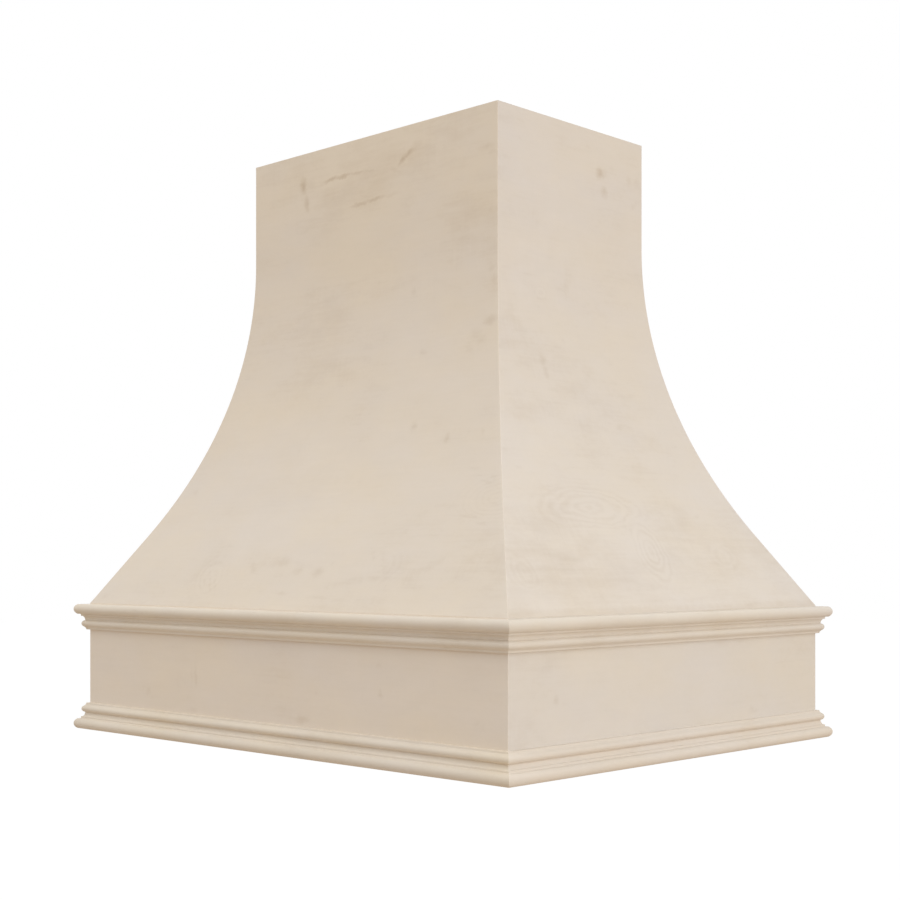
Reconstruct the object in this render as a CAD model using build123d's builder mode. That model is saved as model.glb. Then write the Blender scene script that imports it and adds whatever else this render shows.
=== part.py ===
"""Ceiling-hung wooden cover for an island range hood.

A straight rectangular chimney sweeps out on all four sides, in one hollow curve that ends in a
straight slope, to an upright apron. The apron carries the same moulding along its top and, turned
over, along its bottom. Inside are a half-lapped ceiling frame, ribs cut to the curve, hip ribs
behind the four mitres, ledgers under the ribs' feet and a screwed-in shelf for the fan insert.

Millimetres. +Z is up, the long front faces -Y, and the origin is the middle of the underside.
"""

import math
import os
from dataclasses import dataclass

from build123d import *

os.makedirs("parts", exist_ok=True)

# ---- The cover's outside --------------------------------------------------------------------
band_width = 914.4  # left to right over the apron boards
band_depth = 711.2  # front to back over the apron boards
hood_height = 914.4
apron_height = 204.8
flare_reach = 190.5  # how far each face comes out between chimney and apron
chimney_straight = 160.3  # upright face above the curve
slope_length = 127.0  # straight slope below the curve, down to the apron

# ---- Boards ---------------------------------------------------------------------------------
skin = 9.525  # bent plywood of the faces
board = 19.05  # apron boards and shelf cleats
glue_line = 0.2  # between a curved skin and the rib behind it

# ---- Moulding: measured out from the apron, and up from its thick edge to its thin one -------
moulding_reveal = 1.6  # the strip of apron board left bare beyond each moulding's thick edge
edge_reach = 14.3  # the flats above and below the round nose
nose_reach = 19.05
nose_height = 15.8
step_reach = 10.6  # the narrow step between nose and cove
step_height = 3.4
cove_reach = 8.6
cove_height = 5.8
quirk_reach = 5.9  # the narrow flat between cove and bead
quirk_height = 1.2
bead_reach = 10.0
bead_height = 10.7
fillet_reach = 5.0
fillet_height = 4.375
fillet_round = 1.2

# ---- Ceiling frame ---------------------------------------------------------------------------
rail_width = 44.45
rail_thickness = 19.05
housing_depth = 6.35  # the slots in rails and ledgers that take the ribs' ends
ceiling_hole_radius = 3.6
ceiling_hole_spacing = 406.4  # left to right, as ceiling joists are spaced

# ---- Ribs ------------------------------------------------------------------------------------
rib_thickness = 19.05
rib_depth = 44.45
rib_spacing = 139.7
long_side_ribs = 5
short_side_ribs = 4

# ---- Apron's inside --------------------------------------------------------------------------
ledger_width = 44.45
ledger_thickness = 19.05
cleat_height = 38.1
block_size = 38.1
spline_width = 15.9
spline_thickness = 6.35
spline_setback = 13.5  # from the apron's outer corner to the spline's middle, along the mitre

# ---- Insert shelf ----------------------------------------------------------------------------
shelf_recess = 44.45  # from the apron's bottom edge up to the shelf
shelf_thickness = 19.05
shelf_gap = 1.6
cutout_width = 723.9
cutout_depth = 482.6
cutout_round = 6.0
insert_hole_radius = 2.0
insert_hole_margin = 19.05  # from the cut-out's edge to the middle of a hole

# ---- Flat-headed screws ----------------------------------------------------------------------
screw_radius = 2.1
screw_head_radius = 4.2
screw_head_height = 2.8
screw_length = 31.75
bore_clearance = 0.1
screw_spacing = 457.2
long_side_screws = 2
short_side_screws = 1

# ---- Levels and places that follow -----------------------------------------------------------
flare_top = hood_height - chimney_straight
rail_underside = hood_height - rail_thickness
ledger_underside = apron_height - ledger_thickness
shelf_top = shelf_recess + shelf_thickness
cleat_top = shelf_top + cleat_height
inner_width = band_width - 2 * board
inner_depth = band_depth - 2 * board
rib_front = skin + glue_line  # from a face back to the ribs' outer edges
rib_back = rib_front + rib_depth

# From an apron board's face back to the middle of a ceiling rail and of a cleat.
rail_middle = flare_reach + skin + rail_width / 2
cleat_middle = board * 1.5

# The curve starts upright and ends tangent to the slope. The distance from its middle to the
# slope's foot, squared, is both flare_radius**2 + slope_length**2 and
# (flare_radius - flare_reach)**2 + flare_drop**2, which gives the radius.
flare_drop = flare_top - apron_height
flare_radius = (flare_reach**2 + flare_drop**2 - slope_length**2) / (2 * flare_reach)
flare_turn = math.atan2(flare_drop, flare_radius - flare_reach) - math.atan2(slope_length, flare_radius)

# ---- The four sides --------------------------------------------------------------------------
UP = Vector(0, 0, 1)


@dataclass
class Side:
    """One side of the cover, by its apron board's face."""

    name: str
    outward: Vector
    distance: float  # from the middle of the cover out to the face
    length: float
    ribs: int
    screws: int

    @property
    def along(self):
        """The direction in which places along the side are measured."""
        return self.outward.cross(UP)

    def point(self, offset, behind, level):
        """A point that far along the side, behind its face and above the bottom edge."""
        return self.outward * (self.distance - behind) + self.along * offset + UP * level

    def section_plane(self, offset=0.0):
        """The upright plane square to the side: its X points out of the face and its Y up."""
        return Plane(origin=self.along * offset, x_dir=self.outward, z_dir=self.along)


FRONT = Side("front", Vector(0, -1, 0), band_depth / 2, band_width, long_side_ribs, long_side_screws)
BACK = Side("back", Vector(0, 1, 0), band_depth / 2, band_width, long_side_ribs, long_side_screws)
LEFT = Side("left", Vector(-1, 0, 0), band_width / 2, band_depth, short_side_ribs, short_side_screws)
RIGHT = Side("right", Vector(1, 0, 0), band_width / 2, band_depth, short_side_ribs, short_side_screws)
LONG_SIDES = [FRONT, BACK]
SHORT_SIDES = [LEFT, RIGHT]
SIDES = LONG_SIDES + SHORT_SIDES
CORNERS = [(long_side, short_side) for long_side in LONG_SIDES for short_side in SHORT_SIDES]


def write_part(piece, name):
    """Label a finished piece and write its file."""
    piece.part.label = name
    export_step(piece.part, f"parts/{name}.step")


def diagonal_plane(long_side, short_side):
    """The upright plane through an apron corner: its X points out along the mitre, its Y up."""
    corner = long_side.outward * long_side.distance + short_side.outward * short_side.distance
    diagonal = (long_side.outward + short_side.outward).normalized()
    return Plane(origin=corner, x_dir=diagonal, z_dir=diagonal.cross(UP))


def cut_mitres(side, setback=0.0):
    """Cut the piece being built along its side's two mitres, or that far inside them."""
    for end in (-1, 1):
        square = (side.along * end - side.outward).normalized()
        corner = side.point(end * side.length / 2, 0, 0)
        split(bisect_by=Plane(origin=corner - square * setback, z_dir=square), keep=Keep.BOTTOM)


def spaced(count, spacing):
    """Offsets of evenly spaced pieces about the middle of a side."""
    return [(number - (count - 1) / 2) * spacing for number in range(count)]


def reaches_ceiling(side, offset):
    """Whether a rib there stands clear of the hip ribs all the way up to the ceiling frame."""
    rail_opening = side.length / 2 - flare_reach - skin - rail_width
    return abs(offset) + rib_thickness / 2 < rail_opening


# ---- Shelf screws: where they are driven up, and the bores that they sit in ---------------------
def shelf_screws(side):
    """Up through the shelf into a side's cleat."""
    offsets = spaced(side.screws, screw_spacing)
    return [Location(side.point(offset, cleat_middle, shelf_recess)) for offset in offsets]


def screw_form(clearance=0.0):
    """A flat-headed screw pointing up, its head's flat at the origin, or the bore around it."""
    with BuildPart() as screw:
        with BuildSketch(Plane.XZ):
            with BuildLine():
                Polyline(
                    (0, 0),
                    (screw_head_radius + clearance, 0),
                    (screw_radius + clearance, screw_head_height),
                    (screw_radius + clearance, screw_length + clearance),
                    (0, screw_length + clearance),
                    close=True,
                )
            make_face()
        revolve(axis=Axis.Z)
    return screw.part


shelf_screw = screw_form()
shelf_screw_bore = screw_form(bore_clearance)


# ---- The flare's section -----------------------------------------------------------------------
def face_line(chimney, depth, top, bottom):
    """Draw the line that runs that depth behind a flared face, and return its two ends.

    It stands upright from the top, turns with the curve and falls straight to the bottom.
    chimney is how far out the chimney's own face stands.
    """
    upright = Line((chimney - depth, top), (chimney - depth, flare_top))
    curve = JernArc(upright @ 1, upright % 1, flare_radius + depth, math.degrees(flare_turn))
    fall = (curve @ 1).Y - bottom
    slope = Line(curve @ 1, curve @ 1 + Vector(fall * math.tan(flare_turn), -fall))
    return upright @ 0, slope @ 1


def face_strip(side, near, far, top, bottom, offset=0.0):
    """The upright section, that far along a side, between two depths behind its flared face."""
    chimney = side.distance - flare_reach
    with BuildSketch(side.section_plane(offset)) as strip:
        with BuildLine():
            near_top, near_bottom = face_line(chimney, near, top, bottom)
            far_top, far_bottom = face_line(chimney, far, top, bottom)
            Line(near_top, far_top)
            Line(near_bottom, far_bottom)
        make_face()
    return strip.sketch


def hip_line(depth, top, bottom):
    """Draw the same line where the mitre's diagonal cuts it, and return its two ends.

    Across the corner every distance is longer by the root of two, so the arc becomes an ellipse.
    The apron's corner is at X 0.
    """
    stretch = math.sqrt(2)
    radius = flare_radius + depth
    middle = (stretch * (flare_radius - flare_reach), flare_top)
    upright_end = Vector(middle[0] - stretch * radius, flare_top)
    upright = Line((upright_end.X, top), upright_end)
    curve = EllipticalCenterArc(
        middle,
        stretch * radius,
        radius,
        start_angle=180,
        arc_size=math.degrees(flare_turn),
    )
    fall = (curve @ 1).Y - bottom
    slope = Line(curve @ 1, curve @ 1 + Vector(stretch * fall * math.tan(flare_turn), -fall))
    return upright @ 0, slope @ 1


# ---- Skins: the four flared faces, bent from plywood and mitred at the hips --------------------
for side in SIDES:
    with BuildPart() as face:
        section = face_strip(side, 0, skin, hood_height, apron_height)
        extrude(section, amount=side.length / 2, both=True)
        cut_mitres(side)
    write_part(face, f"{side.name}_skin")

# ---- Corner splines: thin strips let into both boards of each apron mitre -----------------------
with BuildPart() as splines:
    with BuildSketch():
        for long_side, short_side in CORNERS:
            corner = diagonal_plane(long_side, short_side)
            turned = math.degrees(math.atan2(corner.x_dir.Y, corner.x_dir.X))
            middle = corner.origin - corner.x_dir * spline_setback
            with Locations(Location(middle, (0, 0, turned))):
                Rectangle(spline_thickness, spline_width)
    extrude(amount=apron_height)
write_part(splines, "corner_splines")

# ---- Apron boards, mitred and slotted for the splines --------------------------------------------
for side in SIDES:
    with BuildPart() as apron:
        with BuildSketch(side.section_plane()):
            with Locations((side.distance, 0)):
                Rectangle(board, apron_height, align=(Align.MAX, Align.MIN))
        extrude(amount=side.length / 2, both=True)
        cut_mitres(side)
        add(splines.part, mode=Mode.SUBTRACT)
    write_part(apron, f"{side.name}_apron_board")

# ---- Mouldings: a nose, a step, a cove, a bead and a fillet, mitred at the corners --------------
nose_top = moulding_reveal + nose_height
step_top = nose_top + step_height
cove_top = step_top + cove_height
bead_bottom = cove_top + quirk_height
bead_top = bead_bottom + bead_height
moulding_top = bead_top + fillet_height

for side in SIDES:
    face = side.distance
    with BuildPart() as base:
        with BuildSketch(side.section_plane()) as section:
            with BuildLine():
                edge = Line((face, moulding_reveal), (face + edge_reach, moulding_reveal))
                nose_middle = (face + nose_reach, moulding_reveal + nose_height / 2)
                nose = ThreePointArc(edge @ 1, nose_middle, (face + edge_reach, nose_top))
                step = Polyline(
                    nose @ 1,
                    (face + step_reach, nose_top),
                    (face + step_reach, step_top),
                    (face + cove_reach, step_top),
                )
                # The cove starts upright at the quirk and turns out to the step.
                TangentArc((face + quirk_reach, cove_top), step @ 1, tangent=(0, -1))
                quirk = Line((face + quirk_reach, cove_top), (face + quirk_reach, bead_bottom))
                bead_middle = (face + bead_reach, bead_bottom + bead_height / 2)
                bead = ThreePointArc(quirk @ 1, bead_middle, (face + quirk_reach, bead_top))
                Polyline(
                    bead @ 1,
                    (face + fillet_reach, bead_top),
                    (face + fillet_reach, moulding_top),
                    (face, moulding_top),
                    edge @ 0,
                )
            make_face()
            fillet_corner = section.vertices().group_by(Axis.Y)[-1].sort_by(Axis.X)[-1]
            fillet(fillet_corner, radius=min(fillet_round, fillet_height / 2))
        extrude(amount=side.length / 2 + nose_reach, both=True)
        cut_mitres(side)
    write_part(base, f"{side.name}_lower_moulding")
    with BuildPart() as cap:
        mirror(base.part, about=Plane.XY.offset(apron_height / 2))
    write_part(cap, f"{side.name}_upper_moulding")

# ---- Ceiling frame: flat rails, half-lapped, with the long rails' ends on top -------------------
for side in SIDES:
    rail_face = side.distance - flare_reach - skin
    half_length = side.length / 2 - flare_reach - skin
    lap_underside = rail_underside if side in LONG_SIDES else rail_underside + rail_thickness / 2
    with BuildPart() as rail:
        with BuildSketch(side.section_plane()):
            with Locations((rail_face, hood_height)):
                Rectangle(rail_width, rail_thickness, align=(Align.MAX, Align.MAX))
        extrude(amount=half_length, both=True)
        for end in (-1, 1):
            with BuildSketch(side.section_plane(end * (half_length - rail_width))):
                with Locations((rail_face, lap_underside)):
                    Rectangle(rail_width, rail_thickness / 2, align=(Align.MAX, Align.MIN))
            extrude(amount=end * rail_width, mode=Mode.SUBTRACT)
        for offset in spaced(side.ribs, rib_spacing):
            if reaches_ceiling(side, offset):
                with BuildSketch(side.section_plane(offset)):
                    with Locations((rail_face, rail_underside)):
                        Rectangle(rail_width, housing_depth, align=(Align.MAX, Align.MIN))
                extrude(amount=rib_thickness / 2, both=True, mode=Mode.SUBTRACT)
        if side in LONG_SIDES:
            with BuildSketch(Plane.XY.offset(rail_underside)):
                with Locations([side.point(x, rail_middle, 0) for x in spaced(2, ceiling_hole_spacing)]):
                    Circle(ceiling_hole_radius)
            extrude(amount=rail_thickness, mode=Mode.SUBTRACT)
    write_part(rail, f"{side.name}_ceiling_rail")

# ---- Ledgers: flat rails inside the apron's top edge, with a housing for each rib's foot --------
for side in SIDES:
    shortened = 0 if side in LONG_SIDES else ledger_width
    with BuildPart() as ledger:
        with BuildSketch(side.section_plane()):
            with Locations((side.distance - board, apron_height)):
                Rectangle(ledger_width, ledger_thickness, align=(Align.MAX, Align.MAX))
        extrude(amount=side.length / 2 - board - shortened, both=True)
        for offset in spaced(side.ribs, rib_spacing):
            with BuildSketch(side.section_plane(offset)):
                with Locations((side.distance - board, apron_height)):
                    Rectangle(ledger_width, housing_depth, align=(Align.MAX, Align.MAX))
            extrude(amount=rib_thickness / 2, both=True, mode=Mode.SUBTRACT)
    write_part(ledger, f"{side.name}_ledger")

# ---- Ribs: cut to the curve, housed in the ledger and either in the rail or against a hip rib ---
for side in SIDES:
    for number, offset in enumerate(spaced(side.ribs, rib_spacing), start=1):
        rib_top = rail_underside + housing_depth
        rib_foot = apron_height - housing_depth
        with BuildPart() as rib:
            section = face_strip(side, rib_front, rib_back, rib_top, rib_foot, offset)
            extrude(section, amount=rib_thickness / 2, both=True)
            # A notch lets the foot step up onto the apron board's top edge.
            with BuildSketch(side.section_plane(offset)):
                with Locations((side.distance - board, apron_height)):
                    Rectangle(board, housing_depth, align=(Align.MIN, Align.MAX))
            extrude(amount=rib_thickness, both=True, mode=Mode.SUBTRACT)
            if not reaches_ceiling(side, offset):
                cut_mitres(side, rib_thickness / 2)
        write_part(rib, f"{side.name}_rib_{number}")

# ---- Hip ribs: on the diagonals behind the mitres, their outer edges backed to both skins -------
for corner_sides in CORNERS:
    behind_faces = []
    for side in corner_sides:
        middle_depth = side.distance - flare_reach
        section = face_strip(side, rib_front, middle_depth, rail_underside, apron_height)
        with BuildPart() as behind_face:
            extrude(section, amount=side.length / 2, both=True)
        behind_faces.append(behind_face.part)
    with BuildPart() as hip:
        with BuildSketch(diagonal_plane(*corner_sides)):
            with BuildLine():
                outer_top, outer_bottom = hip_line(0, rail_underside, apron_height)
                inner_top, inner_bottom = hip_line(rib_back, rail_underside, apron_height)
                Line(outer_top, inner_top)
                Line(outer_bottom, inner_bottom)
            make_face()
        extrude(amount=rib_thickness / 2, both=True)
        for region in behind_faces:
            add(region, mode=Mode.INTERSECT)
    write_part(hip, f"{corner_sides[0].name}_{corner_sides[1].name}_hip_rib")

# ---- Cleats above the shelf, and glue blocks that stiffen the apron's corners -------------------
for side in SIDES:
    shortened = 0 if side in LONG_SIDES else board
    with BuildPart() as cleat:
        with BuildSketch(side.section_plane()):
            with Locations((side.distance - board, shelf_top)):
                Rectangle(board, cleat_height, align=(Align.MAX, Align.MIN))
        extrude(amount=side.length / 2 - board - shortened, both=True)
        for place in shelf_screws(side):
            with Locations(place):
                add(shelf_screw_bore, mode=Mode.SUBTRACT)
    write_part(cleat, f"{side.name}_shelf_cleat")

for long_side, short_side in CORNERS:
    long_reach = long_side.distance - board - block_size / 2
    short_reach = short_side.distance - board - block_size / 2
    with BuildPart() as block:
        with BuildSketch(Plane.XY.offset(cleat_top)):
            with Locations(long_side.outward * long_reach + short_side.outward * short_reach):
                Rectangle(block_size, block_size)
        extrude(amount=ledger_underside - cleat_top)
    write_part(block, f"{long_side.name}_{short_side.name}_corner_block")

# ---- Insert shelf: lifted in from below, screwed up to the cleats, cut out for the insert -------
with BuildPart() as shelf:
    with BuildSketch(Plane.XY.offset(shelf_recess)):
        Rectangle(inner_width - 2 * shelf_gap, inner_depth - 2 * shelf_gap)
        RectangleRounded(cutout_width, cutout_depth, cutout_round, mode=Mode.SUBTRACT)
        hole_spacing_x = cutout_width + 2 * insert_hole_margin
        hole_spacing_y = cutout_depth + 2 * insert_hole_margin
        with GridLocations(hole_spacing_x, hole_spacing_y, 2, 2):
            Circle(insert_hole_radius, mode=Mode.SUBTRACT)
    extrude(amount=shelf_thickness)
    for side in SIDES:
        for place in shelf_screws(side):
            with Locations(place):
                add(shelf_screw_bore, mode=Mode.SUBTRACT)
write_part(shelf, "insert_shelf")

# ---- Shelf screws, in one group -----------------------------------------------------------------
with BuildPart() as screws:
    for side in SIDES:
        for place in shelf_screws(side):
            with Locations(place):
                add(shelf_screw)
write_part(screws, "shelf_screws")
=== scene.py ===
"""The wooden cover of an island range hood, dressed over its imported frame.

Metres, in the frame's own directions: +Z is up, the long front faces -Y, and the origin is the
middle of the underside. The four flared skins, the apron boards and the mouldings are worked out
again here as smooth surfaces of the same sizes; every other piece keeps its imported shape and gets
its timber.
"""

import math

import bpy
import numpy as np
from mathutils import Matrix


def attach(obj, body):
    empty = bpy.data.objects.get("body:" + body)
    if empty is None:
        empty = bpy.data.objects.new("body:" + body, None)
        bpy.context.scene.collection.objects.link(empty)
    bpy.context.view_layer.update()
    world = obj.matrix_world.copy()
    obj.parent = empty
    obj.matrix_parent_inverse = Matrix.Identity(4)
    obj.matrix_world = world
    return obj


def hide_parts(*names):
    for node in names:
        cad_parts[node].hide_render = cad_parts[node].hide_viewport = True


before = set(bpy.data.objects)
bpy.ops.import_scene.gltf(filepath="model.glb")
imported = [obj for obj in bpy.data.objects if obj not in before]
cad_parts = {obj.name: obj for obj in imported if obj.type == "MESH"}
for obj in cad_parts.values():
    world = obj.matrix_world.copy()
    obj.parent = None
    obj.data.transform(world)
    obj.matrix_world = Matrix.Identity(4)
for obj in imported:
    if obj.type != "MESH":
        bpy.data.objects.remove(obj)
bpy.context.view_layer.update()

MM = 0.001

# ---- Sizes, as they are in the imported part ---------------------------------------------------
BAND_WIDTH = 0.9144
BAND_DEPTH = 0.7112
HOOD_HEIGHT = 0.9144
APRON_HEIGHT = 0.2048
FLARE_REACH = 0.1905
CHIMNEY_STRAIGHT = 0.1603
SLOPE_LENGTH = 0.127
SKIN = 0.009525
BOARD = 0.01905
SPLINE_WIDTH = 0.0159
SPLINE_THICKNESS = 0.00635
SPLINE_SETBACK = 0.0135  # from the apron's outer corner to the spline's middle, along the mitre
ARRIS = 0.0008  # the radius that sandpaper leaves along an outer edge
CREASE = math.radians(24)  # faces that meet more sharply than this show an edge
RUN_CELLS = 60  # faces along a skin or a moulding

MOULDING_REVEAL = 0.0016
EDGE_REACH = 0.0143
NOSE_REACH = 0.01905
NOSE_HEIGHT = 0.0158
STEP_REACH = 0.0106
STEP_HEIGHT = 0.0034
COVE_REACH = 0.0086
COVE_HEIGHT = 0.0058
QUIRK_REACH = 0.0059
QUIRK_HEIGHT = 0.0012
BEAD_REACH = 0.01
BEAD_HEIGHT = 0.0107
FILLET_REACH = 0.005
FILLET_HEIGHT = 0.004375
FILLET_ROUND = 0.0007

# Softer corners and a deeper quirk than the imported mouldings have.
QUIRK_CUT = 0.0006
STEP_HOLLOW = 0.0012
STEP_WORN = 0.0006
FILLET_LEAN = 0.0005

FLARE_TOP = HOOD_HEIGHT - CHIMNEY_STRAIGHT
FLARE_DROP = FLARE_TOP - APRON_HEIGHT
FLARE_RADIUS = (FLARE_REACH**2 + FLARE_DROP**2 - SLOPE_LENGTH**2) / (2 * FLARE_REACH)
FLARE_TURN = math.atan2(FLARE_DROP, FLARE_RADIUS - FLARE_REACH) - math.atan2(SLOPE_LENGTH, FLARE_RADIUS)

# Each side's outward direction, how far out its apron face stands, and its length.
SIDES = {
    "front": ((0.0, -1.0), BAND_DEPTH / 2, BAND_WIDTH),
    "back": ((0.0, 1.0), BAND_DEPTH / 2, BAND_WIDTH),
    "left": ((-1.0, 0.0), BAND_WIDTH / 2, BAND_DEPTH),
    "right": ((1.0, 0.0), BAND_WIDTH / 2, BAND_DEPTH),
}


# ---- Section lines: points are (out from the apron's face, up from its bottom edge) ------------
def straight(start, end, cells):
    """Points on the line from start to end: start + t * (end - start), t from 0 to 1."""
    t = np.linspace(0.0, 1.0, cells + 1)[:, None]
    return np.asarray(start) + t * (np.asarray(end) - np.asarray(start))


def arc_about(centre, radius, first, last, cells):
    """Points on a circle: centre + radius * (cos a, sin a), a from first to last."""
    a = np.linspace(first, last, cells + 1)[:, None]
    return np.asarray(centre) + radius * np.hstack([np.cos(a), np.sin(a)])


def arc_through(start, middle, end, cells):
    """The arc from start over middle to end, whose centre is as far from all three.

    With p and q the steps from start to middle and end, the centre c from start solves
    2 p.c = p.p and 2 q.c = q.q.
    """
    start, middle, end = (np.asarray(point, float) for point in (start, middle, end))
    p, q = middle - start, end - start
    centre = start + np.linalg.solve(2 * np.array([p, q]), np.array([p @ p, q @ q]))
    angles = [math.atan2(*(point - centre)[::-1]) for point in (start, middle, end)]
    to_middle, to_end = ((a - angles[0]) % math.tau for a in angles[1:])
    sweep = to_end if to_middle < to_end else to_end - math.tau
    return arc_about(centre, np.linalg.norm(start - centre), angles[0], angles[0] + sweep, cells)


def arc_leaving(start, heading, end, cells):
    """The arc that leaves start along heading and reaches end.

    Its centre lies square to the heading, at e.e / (2 e.n) for the step e to the end and the
    square direction n.
    """
    start, end = np.asarray(start, float), np.asarray(end, float)
    square = np.array([-heading[1], heading[0]]) / np.linalg.norm(heading)
    step = end - start
    centre = start + square * (step @ step) / (2 * step @ square)
    radius = np.linalg.norm(start - centre)
    to_chord = (start + end) / 2 - centre
    middle = centre + to_chord * radius / np.linalg.norm(to_chord)
    return arc_through(start, middle, end, cells)


def chain(*runs):
    """Runs of points one after another, each joint's point kept once."""
    return np.vstack([runs[0]] + [run[1:] for run in runs[1:]])


def flared_line(depth):
    """The section of a flared face, that depth behind it, from the apron's top edge up.

    It climbs the straight slope, follows the arc of radius FLARE_RADIUS + depth about the curve's
    middle, and stands upright from FLARE_TOP to the ceiling.
    """
    radius = FLARE_RADIUS + depth
    middle = np.array([FLARE_RADIUS - FLARE_REACH, FLARE_TOP])
    curve = arc_about(middle, radius, math.pi + FLARE_TURN, math.pi, 72)
    fall = curve[0, 1] - APRON_HEIGHT
    foot = curve[0] + np.array([math.tan(FLARE_TURN), -1.0]) * fall
    slope = straight(foot, curve[0], 14)
    upright = straight(curve[-1], (-FLARE_REACH - depth, HOOD_HEIGHT), 16)
    return chain(slope, curve, upright)


def moulding_section():
    """The lower moulding's closed section, anticlockwise from the back of its thick edge.

    A flat edge, a round nose, a small step, a cove that is upright where it meets the quirk, a
    V cut into the quirk, a round bead that runs out in a hollow, and a fillet that leans in to
    its rounded upper corner. The step's inner and outer corners are quarter circles, as sanded
    work has.
    """
    nose_top = MOULDING_REVEAL + NOSE_HEIGHT
    step_top = nose_top + STEP_HEIGHT
    cove_top = step_top + COVE_HEIGHT
    bead_bottom = cove_top + QUIRK_HEIGHT
    bead_top = bead_bottom + BEAD_HEIGHT
    top = bead_top + FILLET_HEIGHT
    edge, back = (EDGE_REACH, MOULDING_REVEAL), (0, MOULDING_REVEAL)
    nose_middle = (NOSE_REACH, MOULDING_REVEAL + NOSE_HEIGHT / 2)
    nose = arc_through(edge, nose_middle, (EDGE_REACH, nose_top), 28)
    hollow_middle = (STEP_REACH + STEP_HOLLOW, nose_top + STEP_HOLLOW)
    hollow = arc_about(hollow_middle, STEP_HOLLOW, -math.pi / 2, -math.pi, 5)
    worn_middle = (STEP_REACH - STEP_WORN, step_top - STEP_WORN)
    worn = arc_about(worn_middle, STEP_WORN, 0.0, math.pi / 2, 4)
    cove = arc_leaving((QUIRK_REACH, cove_top), (0, -1), (COVE_REACH, step_top), 8)[::-1]
    bead_middle = (BEAD_REACH, bead_bottom + BEAD_HEIGHT / 2)
    bead = arc_through((QUIRK_REACH, bead_bottom), bead_middle, (QUIRK_REACH, bead_top), 24)[:-3]
    runout = arc_leaving(bead[-1], bead[-1] - bead[-2], (FILLET_REACH, bead_top + FILLET_HEIGHT * 0.4), 6)
    corner = FILLET_REACH - FILLET_LEAN
    rounded = arc_about((corner - FILLET_ROUND, top - FILLET_ROUND), FILLET_ROUND, 0.0, math.pi / 2, 6)
    return chain(
        straight(back, edge, 4),
        nose,
        straight(nose[-1], hollow[0], 1),
        hollow,
        straight(hollow[-1], worn[0], 1),
        worn,
        straight(worn[-1], cove[0], 1),
        cove,
        np.array([cove[-1], (QUIRK_REACH - QUIRK_CUT, (cove_top + bead_bottom) / 2), bead[0]]),
        bead,
        runout,
        straight(runout[-1], rounded[0], 1),
        rounded,
        straight(rounded[-1], (0, top), 1),
        straight((0, top), back, 8),
    )[:-1]


# ---- Pieces that run along a side between its two mitres ---------------------------------------
def eased_edge(arris):
    """Places short of a mitre, and how far a rounded outer edge drops back at each.

    The drop is r - sqrt(r^2 - (r - e)^2), with e the distance from the mitre and r the arris'
    radius; e starts where it equals its own drop, so that two neighbours meet in one rounded edge.
    """
    eased = arris * np.array([1 - math.sqrt(0.5), 0.42, 0.58, 0.78, 1.0])
    return eased, arris - np.sqrt(arris**2 - (arris - eased) ** 2)


def section_normals(section):
    """At each point of a closed anticlockwise section, the outward unit normal.

    It is the step from the point before to the point after, turned a quarter clockwise.
    """
    step = np.roll(section, -1, axis=0) - np.roll(section, 1, axis=0)
    normal = np.stack([step[:, 1], -step[:, 0]], axis=1)
    return normal / np.linalg.norm(normal, axis=1, keepdims=True)


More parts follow.
